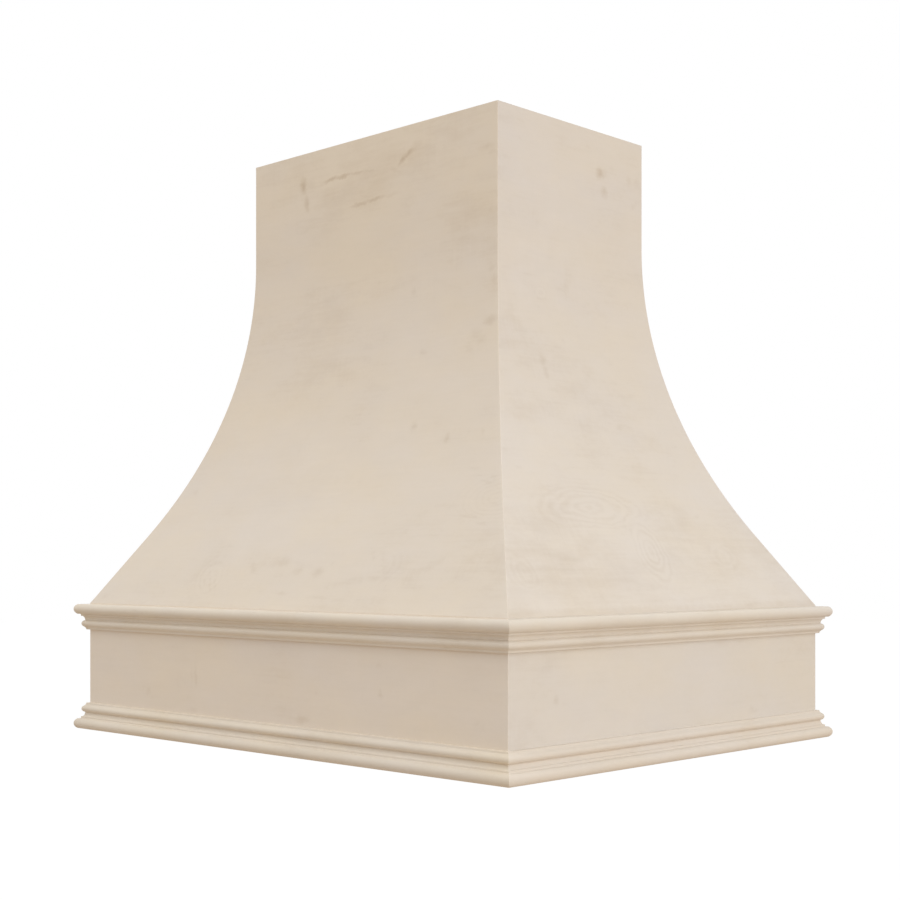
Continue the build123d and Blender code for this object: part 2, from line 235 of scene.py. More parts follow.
def mitred_run(name, side, section, arris, strip=False, plies=None):
    """A closed section carried along a side and cut by the vertical planes of its two mitres.

    A point that stands `out` beyond the apron's face runs from -h to h along the side, where h is
    half the side's length plus `out`. Near the ends the outward-facing surface drops back as
    eased_edge tells, in the measure that a place faces outward; one that doesn't stays level.
    strip tells that the section is two lines side by side, whose ends close with a strip of
    four-sided faces. plies gives each section point a depth from 0 to 1 through bent plywood.
    """
    outward, distance, length = SIDES[side]
    eased, drop = eased_edge(arris)
    end = np.ones(len(eased))
    ends = np.concatenate([-end, np.linspace(-1, 1, RUN_CELLS + 1)[1:-1], end])
    inset = np.concatenate([eased, np.full(RUN_CELLS - 1, arris), eased[::-1]])
    fall = np.concatenate([drop, np.zeros(RUN_CELLS - 1), drop[::-1]])

    normal = section_normals(section)
    share = np.clip(normal[:, 0], 0.0, 1.0)
    out = section[:, :1] - share[:, None] * fall * normal[:, :1]
    up = section[:, 1:] - share[:, None] * fall * normal[:, 1:]
    level = (1 - share[:, None] ** 2) * eased[0]
    along = ends * (length / 2 + section[:, :1] - inset + level)

    out_x, out_y = outward
    x = (distance + out) * out_x + along * out_y
    y = (distance + out) * out_y - along * out_x
    points = np.stack([x, y, up + 0 * x], axis=2).reshape(-1, 3)

    rows, columns = len(section), len(ends)
    i, j = np.meshgrid(np.arange(rows), np.arange(columns - 1), indexing="ij")
    i, j = i.ravel(), j.ravel()
    after = (i + 1) % rows
    here, above = i * columns + j, after * columns + j
    faces = np.stack([here, above, above + 1, here + 1], 1)
    ring = np.vstack([section, section[:1]])
    travelled = np.concatenate([[0.0], np.cumsum(np.linalg.norm(np.diff(ring, axis=0), axis=1))])
    u = np.stack([along[i, j], along[after, j], along[after, j + 1], along[i, j + 1]], 1)
    v = np.stack([travelled[i], travelled[i + 1], travelled[i + 1], travelled[i]], 1)

    if strip:
        k = np.arange(rows // 2 - 1)
        cap = np.stack([k, k + 1, rows - 2 - k, rows - 1 - k], 1)
        caps = np.vstack([cap * columns + columns - 1, cap[:, ::-1] * columns])
    else:
        loop = np.arange(rows)
        caps = np.stack([loop * columns + columns - 1, loop[::-1] * columns])

    mesh = bpy.data.meshes.new(name)
    mesh.from_pydata(points.tolist(), [], faces.tolist() + caps.tolist())
    corners = np.zeros((len(mesh.loops), 2), np.float32)
    corners[: 4 * len(faces), 0] = u.ravel()
    corners[: 4 * len(faces), 1] = v.ravel()
    mesh.uv_layers.new(name="run").data.foreach_set("uv", corners.ravel())
    if plies is not None:
        depth = mesh.attributes.new("ply", "FLOAT", "POINT")
        depth.data.foreach_set("value", np.repeat(plies, columns).astype(np.float32))
    mesh.set_sharp_from_angle(angle=CREASE)
    piece = bpy.data.objects.new(name, mesh)
    bpy.context.scene.collection.objects.link(piece)
    return piece


def slotted_board(name, side):
    """An apron board: its plan outline, with the spline's slots in both mitres, carried upright.

    On a mitre, the place d behind the outer corner lies d / sqrt(2) in from the apron's face and
    as much short of the board's end; the slot goes in square to the mitre for half the spline's
    width. The ends of the outer face drop back as eased_edge tells.
    """
    (out_x, out_y), distance, length = SIDES[side]
    eased, drop = eased_edge(ARRIS)
    near = (SPLINE_SETBACK - SPLINE_THICKNESS / 2) / math.sqrt(2)
    far = (SPLINE_SETBACK + SPLINE_THICKNESS / 2) / math.sqrt(2)
    deep = SPLINE_WIDTH / 2 / math.sqrt(2)
    slot = [(-near, near), (deep - near, near + deep), (deep - far, far + deep), (-far, far)]
    end = np.vstack([[(0, 2 * ARRIS)], np.stack([-drop, eased], 1)[::-1], slot, [(-BOARD, BOARD)]])
    reach = distance + np.concatenate([end[:, 0], end[::-1, 0]])
    along = np.concatenate([length / 2 - end[:, 1], end[::-1, 1] - length / 2])
    plan = np.stack([reach * out_x + along * out_y, reach * out_y - along * out_x, 0 * reach], 1)
    points = np.vstack([plan, plan + np.array([0, 0, APRON_HEIGHT])])
    count = len(plan)
    k = np.arange(count)
    after = (k + 1) % count
    walls = np.stack([k, k + count, after + count, after], 1)
    mesh = bpy.data.meshes.new(name)
    mesh.from_pydata(points.tolist(), [], walls.tolist() + [k.tolist(), (k[::-1] + count).tolist()])
    mesh.set_sharp_from_angle(angle=CREASE)
    piece = bpy.data.objects.new(name, mesh)
    bpy.context.scene.collection.objects.link(piece)
    return piece


def stand_for(piece, node, finish):
    """Dress a piece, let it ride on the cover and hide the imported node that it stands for."""
    piece.data.materials.append(finish)
    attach(piece, "root")
    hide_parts(node)


# ---- Writing a finish --------------------------------------------------------------------------
class Finish:
    """A material being written: each call adds one node and gives its output."""

    def __init__(self, name):
        self.material = bpy.data.materials.new(name)
        self.material.use_nodes = True
        self.tree = self.material.node_tree
        self.tree.nodes.clear()

    def add(self, kind, inputs, output=0, **settings):
        node = self.tree.nodes.new(kind)
        for key, value in settings.items():
            setattr(node, key, value)
        for key, value in inputs.items():
            if isinstance(value, bpy.types.NodeSocket):
                self.tree.links.new(value, node.inputs[key])
            elif value is not None:
                node.inputs[key].default_value = value
        return node.outputs[output] if len(node.outputs) else None

    def math(self, operation, a, b=None, c=None):
        return self.add("ShaderNodeMath", {0: a, 1: b, 2: c}, operation=operation)

    def spread(self, value, low, high):
        """0 below low, 1 above high, and a smooth step between."""
        inputs = {"Value": value, "From Min": low, "From Max": high}
        return self.add("ShaderNodeMapRange", inputs, interpolation_type="SMOOTHSTEP")

    def place(self, vector, turn=0.0, shift=(0, 0, 0), scale=(1, 1, 1)):
        """Scale, then turn about Z, then shift."""
        inputs = {"Vector": vector, "Location": shift, "Rotation": (0, 0, turn), "Scale": scale}
        return self.add("ShaderNodeMapping", inputs)

    def noise(self, vector, scale, detail=2.0, roughness=0.5, distortion=0.0):
        """Soft noise from 0 to 1, its scale given for each direction."""
        inputs = {
            "Vector": self.place(vector, scale=scale),
            "Scale": 1.0,
            "Detail": detail,
            "Roughness": roughness,
            "Distortion": distortion,
        }
        return self.add("ShaderNodeTexNoise", inputs)

    def weigh(self, *terms):
        """The sum of weight * (value - 0.5) over pairs of value and weight."""
        total = None
        for value, weight in terms:
            term = self.math("MULTIPLY_ADD", value, weight, -0.5 * weight)
            total = term if total is None else self.math("ADD", total, term)
        return total

    def blend(self, factor, a, b):
        inputs = {"Factor": factor, 6: a, 7: b}
        return self.add("ShaderNodeMix", inputs, 2, data_type="RGBA")

    def ramp(self, value, stops):
        """Colours laid out along a value."""
        colours = self.tree.nodes.new("ShaderNodeValToRGB")
        elements = colours.color_ramp.elements
        elements[0].position, elements[0].color = stops[0][0], (*stops[0][1], 1)
        elements[1].position, elements[1].color = stops[-1][0], (*stops[-1][1], 1)
        for position, colour in stops[1:-1]:
            elements.new(position).color = (*colour, 1)
        self.tree.links.new(value, colours.inputs[0])
        return colours.outputs[0]

    def close(self, colour, roughness, height, depth, **constants):
        """Join colour, roughness and relief in the surface shader, and give the material."""
        inputs = {"Base Color": colour, "Roughness": roughness, **constants}
        relief = {"Height": height, "Distance": depth, "Strength": 1.0}
        inputs["Normal"] = self.add("ShaderNodeBump", relief)
        shader = self.add("ShaderNodeBsdfPrincipled", inputs)
        self.add("ShaderNodeOutputMaterial", {"Surface": shader})
        return self.material


def run_coordinates(finish):
    """Along the side and up the developed face, from the piece's own map."""
    return finish.add("ShaderNodeUVMap", {}, uv_map="run")


def object_coordinates(finish):
    return finish.add("ShaderNodeTexCoord", {}, 3)


MAPLE_STOPS = [
    (0.0, (0.462, 0.355, 0.245)),
    (0.30, (0.653, 0.575, 0.465)),
    (0.5, (0.747, 0.685, 0.585)),
    (0.7, (0.786, 0.725, 0.625)),
    (1.0, (0.825, 0.775, 0.680)),
]
# How deep the relief of each surface goes, in metres.
MAPLE_RELIEF = 0.00006
ROUGH_RELIEF = 0.00008
ZINC_RELIEF = 0.00002
BIRCH_EDGE_STOPS = [(0.0, (0.36, 0.25, 0.14)), (0.5, (0.52, 0.39, 0.24)), (1.0, (0.68, 0.55, 0.38))]
BIRCH_FACE_STOPS = [(0.0, (0.46, 0.34, 0.20)), (0.5, (0.66, 0.54, 0.38)), (1.0, (0.76, 0.66, 0.50))]
# How red, green and blue each maple board and moulding comes out beside MAPLE_STOPS: partly its own
# colour, as no two are quite alike, and partly painted light and shade, the front's paler and the right
# side's darker to set how bright each face comes out under the lamps.
SKIN_TINTS_AND_PAINTED_LIGHT = {
    "front": (1.06, 1.02, 0.997),
    "back": (1.02, 0.99, 0.965),
    "left": (1.035, 1.0, 0.975),
    "right": (0.971, 0.952, 0.968),
}
APRON_TINTS_AND_PAINTED_LIGHT = {
    "front": (1.10, 1.06, 1.05),
    "back": (1.01, 0.98, 0.96),
    "left": (1.04, 1.01, 0.99),
    "right": (0.967, 0.957, 0.976),
}
# The lower and the upper moulding's, in that order.
MOULDING_TINTS_AND_PAINTED_LIGHT = {
    "front": ((1.05, 1.013, 0.983), (1.06, 1.03, 1.015)),
    "back": ((1.03, 1.0, 0.98), (1.02, 0.99, 0.975)),
    "left": ((1.04, 1.01, 0.99), (1.03, 1.0, 0.98)),
    "right": ((0.984, 0.953, 0.947), (0.976, 0.956, 0.957)),
}


def tinted(stops, tint):
    """Each stop's colour times the tint."""
    return [(place, tuple(part * share for part, share in zip(colour, tint))) for place, colour in stops]


def mark_shade(finish, spot, marks):
    """The darkest of some knots, mineral marks and patches of painted shade, from 0 up to each one's
    depth.

    A mark is (along, up, half length, half width, turn, depth), in millimetres and degrees. Its
    shade is the depth times a smooth step over 1 minus the distance from its middle, measured in
    half lengths and half widths, where a fine noise has first pushed the place about a little.
    """
    push = finish.add("ShaderNodeTexNoise", {"Vector": spot, "Scale": 110.0, "Detail": 3.0}, 1)
    push = finish.add("ShaderNodeVectorMath", {0: push, 1: (0.5, 0.5, 0.5)}, operation="SUBTRACT")
    flat_push = finish.add("ShaderNodeVectorMath", {0: push, 1: (0.009, 0.009, 0.0)}, operation="MULTIPLY")
    ragged = finish.add("ShaderNodeVectorMath", {0: spot, 1: flat_push})
    shade = None
    for along, up, half_length, half_width, turn, depth in marks:
        inputs = {
            "Vector": ragged,
            "Location": (along * MM, up * MM, 0.0),
            "Rotation": (0.0, 0.0, math.radians(turn)),
            "Scale": (half_length * MM, half_width * MM, 1.0),
        }
        near = finish.add("ShaderNodeMapping", inputs, vector_type="TEXTURE")
        distance = finish.add("ShaderNodeVectorMath", {0: near}, "Value", operation="LENGTH")
        heart = finish.math("MULTIPLY", finish.spread(distance, 1.5, 0.0), depth)
        shade = heart if shade is None else finish.math("MAXIMUM", shade, heart)
    return shade


def oval_shade(finish, spot, ovals):
    """The sum of some sets of nested growth rings, each fading out at its rim.

    An oval is (along, up, half length, half height, rings, depth), its sizes in millimetres: depth
    times the sine of the scaled distance from its middle times its rings, times a smooth fade
    between 0.5 and 1.
    """
    push = finish.weigh((finish.noise(spot, (14.0, 26.0, 26.0), 3.0), 0.5))
    shade = None
    for along, up, half_length, half_height, rings, depth in ovals:
        inputs = {
            "Vector": spot,
            "Location": (along * MM, up * MM, 0.0),
            "Scale": (half_length * MM, half_height * MM, 1.0),
        }
        near = finish.add("ShaderNodeMapping", inputs, vector_type="TEXTURE")
        distance = finish.add("ShaderNodeVectorMath", {0: near}, "Value", operation="LENGTH")
        pushed = finish.math("ADD", distance, push)
        wave = finish.math("SINE", finish.math("MULTIPLY", pushed, rings * math.tau))
        fade = finish.math("MULTIPLY", finish.spread(distance, 1.0, 0.5), depth)
        term = finish.math("MULTIPLY", wave, fade)
        shade = term if shade is None else finish.math("ADD", shade, term)
    return shade


def maple_tone(finish, spot, figure):
    """The tone of bare maple about 0, and its fine grain from 0 to 1.

    Broad clouds, two finer mottles, long streaks and hair-fine pores, each a noise drawn out
    along the grain; a curl that crosses the grain in patches; and the soft growth lines of
    rotary-cut wood, which are the contour lines of a smooth noise.
    """
    clouds = finish.noise(spot, (3.6, 7.0, 7.0), 3.0, 0.6)
    mottle = finish.noise(spot, (13.0, 24.0, 24.0), 4.0, 0.65)
    grit = finish.noise(spot, (80.0, 150.0, 150.0), 4.0, 0.7)
    streaks = finish.noise(spot, (9.0, 150.0, 150.0), 5.0, 0.62, 0.1)
    curl = finish.noise(spot, (210.0, 16.0, 16.0), 2.0, 0.5, 0.2)
    pores = finish.noise(spot, (70.0, 1300.0, 1300.0), 2.0, 0.5)
    patch = finish.spread(finish.noise(spot, (5.0, 8.0, 8.0), 1.0), 0.46, 0.70)
    curl_tone = finish.math("MULTIPLY", finish.weigh((curl, 0.06)), patch)
    rings = finish.math("MULTIPLY", finish.noise(spot, (1.7, 4.2, 4.2), 3.0, 0.45), 15.0)
    ridge = finish.math("PINGPONG", rings, 0.5)
    growth = finish.math("MULTIPLY", finish.spread(ridge, 0.12, 0.5), patch)
    flecks = finish.spread(pores, 0.67, 0.76)
    tone = finish.weigh((clouds, 0.28), (mottle, 0.20), (grit, 0.11), (streaks, 0.14))
    tone = finish.math("ADD", tone, curl_tone)
    tone = finish.math("MULTIPLY_ADD", growth, -figure, tone)
    tone = finish.math("MULTIPLY_ADD", flecks, -0.03, tone)
    grain = finish.math("MULTIPLY_ADD", flecks, -0.8, streaks)
    return tone, grain


def maple_colour(finish, spot, tone, tint, warmth=None):
    """The maple's colour for a tone, drifting a little between warm and cool."""
    drift = finish.noise(spot, (4.0, 7.0, 7.0), 4.0, 0.62)
    if warmth is not None:
        drift = finish.math("SUBTRACT", drift, warmth)
    cast = finish.ramp(drift, [(0.3, (1.012, 1.0, 0.965)), (0.7, (0.988, 1.0, 1.035))])
    colour = finish.ramp(tone, tinted(MAPLE_STOPS, tint))
    return finish.add("ShaderNodeVectorMath", {0: colour, 1: cast}, operation="MULTIPLY")


def bent_maple(name, side, seed, marks, ovals, heartwood):
    """A skin: maple veneer outside, five plies at the edges and a plain back."""
    finish = Finish(name)
    spot = run_coordinates(finish)
    seeded = finish.place(spot, shift=(seed * 1.7, seed * 2.3, seed))
    tone, grain = maple_tone(finish, seeded, 0.045)
    tone = finish.math("ADD", tone, 0.52)
    if ovals:
        tone = finish.math("SUBTRACT", tone, oval_shade(finish, spot, ovals))
    # On the front and right skins the marks include painted shade along the foot above the moulding, and
    # on the right over the lower face.
    if marks:
        tone = finish.math("SUBTRACT", tone, mark_shade(finish, spot, marks))
    warmth = mark_shade(finish, spot, heartwood) if heartwood else None
    face = maple_colour(finish, seeded, tone, SKIN_TINTS_AND_PAINTED_LIGHT[side], warmth)
    ply = finish.add("ShaderNodeAttribute", {}, "Fac", attribute_name="ply")
    wave = finish.math("SINE", finish.math("MULTIPLY", ply, 5 * math.pi))
    layers = finish.spread(wave, -0.25, 0.25)
    end_grain = finish.noise(seeded, (260.0, 260.0, 60.0), 2.0)
    edge_value = finish.math("ADD", layers, finish.weigh((end_grain, 0.5)))
    edge = finish.ramp(edge_value, [(0.0, (0.52, 0.40, 0.26)), (1.0, (0.72, 0.61, 0.46))])
    back_tone = finish.math("ADD", tone, -0.12)
    back = maple_colour(finish, seeded, back_tone, SKIN_TINTS_AND_PAINTED_LIGHT[side])
    inside = finish.blend(finish.spread(ply, 0.9985, 0.9995), edge, back)
    colour = finish.blend(finish.spread(ply, 0.0005, 0.0015), face, inside)
    roughness = finish.math("MULTIPLY_ADD", grain, 0.10, 0.52)
    return finish.close(colour, roughness, grain, MAPLE_RELIEF)


def solid_maple(name, side, seed, tint, marks=(), figure=0.05):
    """A board or moulding of solid maple, its grain along its side."""
    finish = Finish(name)
    turn = 0.0 if side in ("front", "back") else math.pi / 2
    spot = finish.place(object_coordinates(finish), turn=turn)
    seeded = finish.place(spot, shift=(seed * 1.7, seed * 2.3, seed))
    tone, grain = maple_tone(finish, seeded, figure)
    tone = finish.math("ADD", tone, 0.52)
    if marks:
        flat = finish.add("ShaderNodeSeparateXYZ", {"Vector": spot}).node
        face_spot = finish.add("ShaderNodeCombineXYZ", {0: flat.outputs[0], 1: flat.outputs[2]})
        tone = finish.math("SUBTRACT", tone, mark_shade(finish, face_spot, marks))
    colour = maple_colour(finish, seeded, tone, tint)
    roughness = finish.math("MULTIPLY_ADD", grain, 0.10, 0.50)
    return finish.close(colour, roughness, grain, MAPLE_RELIEF)


def birch_plywood(name, turn, axis, plies_per_metre, phase, seed, mirrored=False):
    """Birch plywood: plies stacked along one axis show on the edges, and veneer on the faces.

    The ply tone is a wave over the place through the thickness. A surface counts as a face where
    its normal points along the thickness. mirrored tells that pieces in the other quarters are
    mirror images of the one where x and y are positive: places lose their sign, and the normal
    is multiplied by it.
    """
    finish = Finish(name)
    spot = object_coordinates(finish)
    geometry = finish.add("ShaderNodeNewGeometry", {}, "Normal")
    if mirrored:
        signs = finish.add("ShaderNodeVectorMath", {0: spot}, operation="SIGN")
        geometry = finish.add("ShaderNodeVectorMath", {0: geometry, 1: signs}, operation="MULTIPLY")
        spot = finish.add("ShaderNodeVectorMath", {0: spot}, operation="ABSOLUTE")
    spot = finish.place(spot, turn=turn)
    facing = finish.place(geometry, turn=turn)
    through = finish.add("ShaderNodeSeparateXYZ", {"Vector": spot}, axis)
    square = finish.math("ABSOLUTE", finish.add("ShaderNodeSeparateXYZ", {"Vector": facing}, axis))
    is_face = finish.spread(square, 0.6, 0.8)
    angle = finish.math("MULTIPLY_ADD", through, plies_per_metre * math.pi, phase)
    layers = finish.spread(finish.math("SINE", angle), -0.35, 0.35)
    seeded = finish.place(spot, shift=(seed, seed * 1.3, seed * 0.7))
    speckle = finish.noise(seeded, (420.0, 420.0, 420.0), 3.0, 0.6)
    edge_value = finish.math("ADD", layers, finish.weigh((speckle, 0.7)))
    edge = finish.ramp(edge_value, BIRCH_EDGE_STOPS)
    scale = [9.0, 9.0, 9.0]
    scale[2 if axis != 2 else 0] = 1.6
    clouds = finish.noise(seeded, scale, 3.0, 0.55, 0.6)
    bands = finish.math("FRACT", finish.math("MULTIPLY", clouds, 9.0))
    rings = finish.math("PINGPONG", bands, 0.5)
    fine = [240.0, 240.0, 240.0]
    fine[2 if axis != 2 else 0] = 7.0
    streaks = finish.noise(seeded, fine, 4.0, 0.6)
    face_value = finish.math("ADD", finish.weigh((rings, 0.22), (clouds, 0.5), (streaks, 0.35)), 0.56)
    face = finish.ramp(face_value, BIRCH_FACE_STOPS)
    colour = finish.blend(is_face, edge, face)
    roughness = finish.math("MULTIPLY_ADD", streaks, 0.12, 0.58)
    return finish.close(colour, roughness, finish.math("ADD", streaks, speckle), ROUGH_RELIEF)


def poplar(name, turn, seed, upright=False):
    """Planed poplar, its grain along X before the turn, with greenish heartwood streaks."""
    finish = Finish(name)
    spot = finish.place(object_coordinates(finish), turn=turn, shift=(seed, seed * 0.6, seed * 1.4))
    broad = (45.0, 45.0, 2.5) if upright else (2.5, 45.0, 45.0)
    fine = (260.0, 260.0, 9.0) if upright else (9.0, 260.0, 260.0)
    heart = finish.noise(spot, broad, 3.0, 0.5, 0.3)
    streaks = finish.noise(spot, fine, 4.0, 0.6)
    pale = finish.ramp(streaks, [(0.3, (0.62, 0.55, 0.38)), (0.7, (0.76, 0.70, 0.54))])
    green = finish.ramp(streaks, [(0.3, (0.45, 0.425, 0.265)), (0.7, (0.60, 0.575, 0.405))])
    colour = finish.blend(finish.spread(heart, 0.50, 0.72), pale, green)
    roughness = finish.math("MULTIPLY_ADD", streaks, 0.12, 0.54)
    return finish.close(colour, roughness, streaks, ROUGH_RELIEF)


def zinc(name):
    """Zinc plate: small crystals that vary in tone and gloss."""
    finish = Finish(name)
    spot = object_coordinates(finish)
    cloud = finish.noise(spot, (900.0, 900.0, 900.0), 3.0, 0.6)
    colour = finish.ramp(cloud, [(0.3, (0.50, 0.51, 0.52)), (0.7, (0.72, 0.73, 0.72))])
    roughness = finish.math("MULTIPLY_ADD", cloud, 0.25, 0.22)
    return finish.close(colour, roughness, cloud, ZINC_RELIEF, Metallic=1.0)


# ---- Skins, apron boards and mouldings ---------------------------------------------------------
# Knots and mineral marks, with patches of painted shade among them: (along, up, half length, half width)
# in millimetres on the developed face, the turn in degrees, and the depth.
FRONT_MARKS_AND_SHADE = [
    # Painted shade in the corner above the moulding, and a broad brown stain at the top.
    (0, 0, 2000, 7, 0, 0.05), (-10, 674, 120, 50, -3, 0.11),
    # Two knots near the top, one below the other, with a faint stain on either side.
    (147, 701, 12, 9, 82, 0.28), (139, 671, 13, 7, 84, 0.21), (131, 697, 18, 9, 17, 0.08),
    (156, 700, 8, 8, -3, 0.04),
    # The upper long line, which climbs at its end.
    (101, 696, 18, 5, -9, 0.08), (81, 700, 22, 4, -7, 0.27), (54, 701, 26, 3.5, -1, 0.28),
    (23, 700, 23, 3.5, 1, 0.20), (-5, 698, 27, 3.5, 5, 0.15), (-44, 701, 33, 4.5, 4, 0.08),
    (-60, 690, 19, 6, 25, 0.14), (-77, 702, 15, 5, -41, 0.27), (-89, 709, 19, 4.5, -24, 0.23),
    (-104, 718, 16, 9, -28, 0.10),
    # The lower long line.
    (3, 662, 33, 4.5, 13, 0.15), (15, 652, 28, 4.5, -3, 0.27), (-16, 654, 30, 4.5, -3, 0.28),
    (-54, 655, 31, 5, -2, 0.15), (-87, 674, 20, 9, -30, 0.08),
    # Soft stains about both.
    (58, 663, 35, 8, 2, 0.08), (62, 635, 40, 3.5, 6, 0.07), (57, 650, 33, 16, -5, 0.08),
    (-10, 647, 75, 22, -5, 0.09), (-7, 685, 91, 28, 0, 0.08),
    # Down the right-hand edge.
    (-248, 690, 20, 6, 2, 0.08), (-258, 681, 9, 6, -10, 0.08), (-222, 598, 48, 16, -4, 0.05),
    (-209, 599, 27, 5, 0, 0.06), (-251, 602, 6, 4.5, -8, 0.08), (-259, 519, 7, 6, -2, 0.08),
    (-265, 502, 7, 6, -76, 0.08), (-265, 444, 14, 8, -14, 0.18), (-239, 425, 12, 14, -76, 0.11),
    (-252, 415, 13, 13, -77, 0.11), (-232, 407, 9, 11, -54, 0.08),
    # Small ones across the sweep of the flare.
    (-106, 502, 6, 8, -67, 0.08), (-139, 409, 9, 6, -2, 0.08), (-152, 295, 9, 8, 89, 0.15),
    (-226, 271, 8, 7, 77, 0.14), (-213, 270, 11, 6, -1, 0.06), (-292, 277, 9, 4, 66, 0.07),
    (78, 295, 6, 9, -27, 0.06), (87, 269, 5, 8, -26, 0.06), (95, 283, 24, 5, 1, 0.04),
    (314, 209, 9, 7, -6, 0.08), (357, 195, 9, 6, -13, 0.09), (-58, 151, 24, 4.5, 60, 0.04),
    # A row along the flare's foot.
    (16, 80, 11, 16, 85, 0.11), (32, 81, 10, 16, 84, 0.07), (78, 67, 7, 15, -55, 0.08),
    (-26, 64, 12, 9, -11, 0.11), (-70, 64, 14, 9, -11, 0.11), (59, 86, 11, 14, -20, 0.04),
    (-91, 76, 7, 4.5, -8, 0.07), (-10, 27, 18, 4, 3, 0.09), (-87, 22, 26, 3.5, 2, 0.08),
    (167, 44, 24, 3.5, 53, 0.09), (154, 41, 23, 3, 53, 0.06), (182, 42, 17, 3, 53, 0.05),
    (-169, 87, 19, 4.5, 58, 0.04), (-194, 78, 23, 4.5, 58, 0.04),
    # Fine lines low on the right.
    (-296, 224, 16, 3, 6, 0.08), (-305, 213, 15, 2.5, 6, 0.07), (-324, 202, 15, 2.5, 7, 0.07),
    (-337, 210, 9, 4, 8, 0.09), (-322, 148, 20, 2.5, 9, 0.08), (-345, 138, 15, 2.5, 6, 0.07),
    (-353, 168, 11, 2.5, 9, 0.08),
]
RIGHT_MARKS_AND_SHADE = [
    # Painted shade in the corner above the moulding, and broad painted shade over the lower part of the
    # face.
    (0, 0, 2000, 13, 0, 0.16), (50, 70, 330, 120, 0, 0.075),
    # Knots and stains near the top.
    (-62, 690, 9, 10, 85, 0.23), (-72, 693, 7, 7, -18, 0.07), (-72, 663, 9, 8, 81, 0.15),
    (-132, 691, 8, 9, -26, 0.10), (-151, 691, 10, 8, -14, 0.08), (-136, 686, 24, 12, -20, 0.04),
    (-143, 654, 10, 6, -25, 0.08),
    # Small ones across the sweep of the flare.
    (43, 428, 8, 8, 14, 0.04), (-57, 403, 11, 9, 4, 0.04), (97, 392, 10, 7, -85, 0.11),
    (95, 375, 10, 6, 86, 0.09), (-3, 381, 14, 13, 13, 0.06), (-45, 300, 5, 9, 53, 0.07),
    # Along the flare's foot.
    (210, 223, 11, 3, 2, 0.09), (187, 141, 9, 3.5, 5, 0.09), (174, 147, 8, 3, 5, 0.05),
    (-186, 68, 15, 8, -19, 0.09), (-128, 60, 10, 5, -17, 0.08), (-158, 159, 18, 5, -14, 0.06),
    (-158, 80, 10, 10, 17, 0.05), (-27, 84, 6, 7, 77, 0.08),
]
FRONT_APRON_MARKS = [
    (-294, 71, 8, 6, 10, 0.08), (-287, 108, 21, 5, 5, 0.04), (-198, 125, 15, 9, -29, 0.04),
    (-182, 104, 17, 3.5, -88, 0.06), (-179, 50, 14, 4.5, 1, 0.08), (-172, 103, 20, 4.5, -87, 0.10),
    (74, 54, 16, 5.5, 7, 0.15), (104, 94, 4, 6, -43, 0.05), (227, 137, 7, 4.5, -10, 0.06),
    (231, 98, 8, 5, 90, 0.14), (406, 71, 9, 8, -74, 0.08), (415, 69, 6, 5, -39, 0.07),
    (427, 105, 3, 4, 3, 0.06),
]
RIGHT_APRON_MARKS = [
    (-180, 54, 14, 6, 1, 0.11), (-17, 96, 20, 4.5, -1, 0.04), (75, 82, 19, 5, 2, 0.04),
    (165, 117, 14, 4, 1, 0.04), (265, 99, 7, 5, 87, 0.10), (359, 140, 6, 4.5, 70, 0.06),
]
# Growth rings: (along, up, half length, half height) in millimetres, how many rings, and their depth.
FRONT_OVALS = [
    (-354, 178, 90, 50, 8, 0.026), (168, 52, 44, 46, 4, 0.03), (-190, 73, 58, 46, 5, 0.014),
    (-8, 217, 130, 57, 4, 0.012),
]
RIGHT_OVALS = [
    (0, 96, 48, 75, 5, 0.034), (92, 166, 154, 46, 6, 0.03), (-174, 88, 45, 33, 3, 0.018),
    (80, 493, 20, 15, 2, 0.025), (288, 65, 38, 40, 4, 0.018),
]
# Warmer heartwood at the front's top and about its long lines, written as marks are.
FRONT_HEARTWOOD = [(-50, 700, 420, 200, 0, 0.20), (-10, 665, 90, 45, 0, 0.24)]

outer, inner = flared_line(0.0), flared_line(SKIN)
skin_section = np.vstack([outer, inner[::-1]])
skin_plies = np.concatenate([np.zeros(len(outer)), np.ones(len(inner))])
lower_section = moulding_section()
upper_section = np.array([0.0, APRON_HEIGHT]) + lower_section[::-1] * np.array([1.0, -1.0])
SKIN_MARKS_AND_SHADE = {
    "front": (FRONT_MARKS_AND_SHADE, FRONT_OVALS, FRONT_HEARTWOOD),
    "right": (RIGHT_MARKS_AND_SHADE, RIGHT_OVALS, ()),
}
APRON_MARKS = {"front": FRONT_APRON_MARKS, "right": RIGHT_APRON_MARKS}

for number, side in enumerate(SIDES):
    skin = mitred_run(f"{side}_skin_face", side, skin_section, ARRIS, True, skin_plies)
    marks, ovals, heartwood = SKIN_MARKS_AND_SHADE.get(side, ((), (), ()))
    veneer = bent_maple(f"maple_veneer_{side}", side, 3.1 + 2.7 * number, marks, ovals, heartwood)
    stand_for(skin, f"{side}_skin", veneer)
    band = slotted_board(f"{side}_apron_face", side)
    seed, marks = 11.3 + 1.9 * number, APRON_MARKS.get(side, ())
    timber = solid_maple(f"maple_apron_{side}", side, seed, APRON_TINTS_AND_PAINTED_LIGHT[side], marks)
    stand_for(band, f"{side}_apron_board", timber)
    sections = (("lower", lower_section), ("upper", upper_section))
    for (place, section), tint in zip(sections, MOULDING_TINTS_AND_PAINTED_LIGHT[side]):
        strip = mitred_run(f"{side}_{place}_moulding_run", side, section, ARRIS / 2)
        seed = 21.7 + 3.3 * number + (1.4 if place == "upper" else 0.0)
        name = f"maple_{place}_moulding_{side}"
        timber = solid_maple(name, side, seed, tint, figure=0.03)
        stand_for(strip, f"{side}_{place}_moulding", timber)

